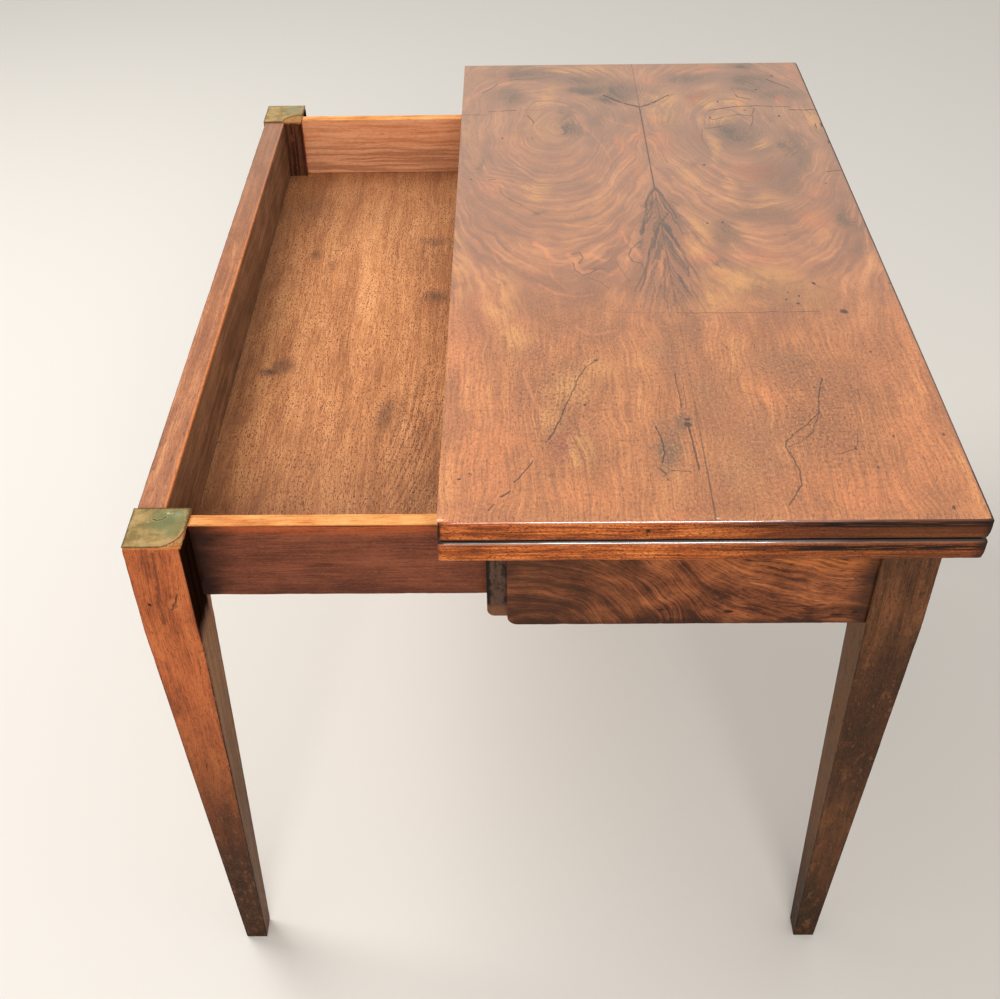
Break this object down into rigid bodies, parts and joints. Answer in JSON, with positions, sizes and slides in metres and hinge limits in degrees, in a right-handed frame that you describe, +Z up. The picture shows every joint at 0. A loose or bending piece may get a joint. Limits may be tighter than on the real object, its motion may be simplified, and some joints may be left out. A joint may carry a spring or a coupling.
{
  "type": "extending game table",
  "caption": "Free-standing walnut game table: a folding baize-lined top on a fixed frame, and a sliding frame on its own legs that draws out with an open tray.",
  "frame": {"origin": "on the floor under the centre of the table's outline, with the sliding frame drawn out as in the picture", "axes": "+Z up; +X across the leaves, from the drawn-out tray towards the fixed frame's long rail; +Y along the leaves, from the pictured short end to the back"},
  "size_m": [0.799, 1.028, 0.7655],
  "materials": {
    "leg_dark": "worn wax over dark walnut",
    "leg_orange": "worn wax over orange-brown walnut, darker at the foot",
    "rail_walnut": "waxed curved-grain walnut",
    "slide_walnut": "dull straight-grained walnut with rubbed edges",
    "inner_wood": "unfinished oak",
    "tray_wood": "dry orange-brown oak",
    "leaf_walnut": "waxed walnut edge",
    "walnut_veneer": "polished book-matched figured walnut veneer",
    "baize": "rubbed green baize",
    "hinge_brass": "old dull brass",
    "screw_steel": "darkened iron"
  },
  "bodies": {
    "fixed_frame": {"leg_front_right": "leg_dark", "leg_back_right": "leg_dark", "rail_front": "rail_walnut", "rail_back": "rail_walnut", "rail_right": "rail_walnut", "ledge_front": "inner_wood", "ledge_back": "inner_wood", "cross_rail": "inner_wood", "glue_blocks": "inner_wood", "block_screws": "screw_steel", "rail_screws": "screw_steel", "ledge_screws": "screw_steel", "leaf_lower_core": "leaf_walnut", "leaf_lower_cleat_front": "leaf_walnut", "leaf_lower_cleat_back": "leaf_walnut", "leaf_lower_baize": "baize", "hinge_plates_lower": "hinge_brass", "hinge_pins": "hinge_brass", "hinge_screws_lower": "hinge_brass"},
    "sliding_frame": {"leg_front_left": "leg_orange", "leg_back_left": "leg_orange", "pad_front": "baize", "pad_back": "baize", "slide_rail_front": "slide_walnut", "slide_rail_back": "slide_walnut", "rail_left": "slide_walnut", "tray_floor": "tray_wood", "tray_end_rail": "tray_wood", "tray_nails": "screw_steel"},
    "upper_leaf": {"leaf_upper_core": "leaf_walnut", "leaf_upper_cleat_front": "leaf_walnut", "leaf_upper_cleat_back": "leaf_walnut", "veneer_left": "walnut_veneer", "veneer_right": "walnut_veneer", "leaf_upper_baize": "baize", "hinge_plates_upper": "hinge_brass", "hinge_screws_upper": "hinge_brass"}
  },
  "joints": [
    {"name": "frame_slide", "type": "slide", "parent": "fixed_frame", "child": "sliding_frame", "axis": [1, 0, 0], "range_m": [0, 0.305]},
    {"name": "leaf_hinge", "type": "hinge", "parent": "fixed_frame", "child": "upper_leaf", "pos_m": [-0.10075, 0, 0.74025], "axis": [0, -1, 0], "range_deg": [0, 180]}
  ]
}
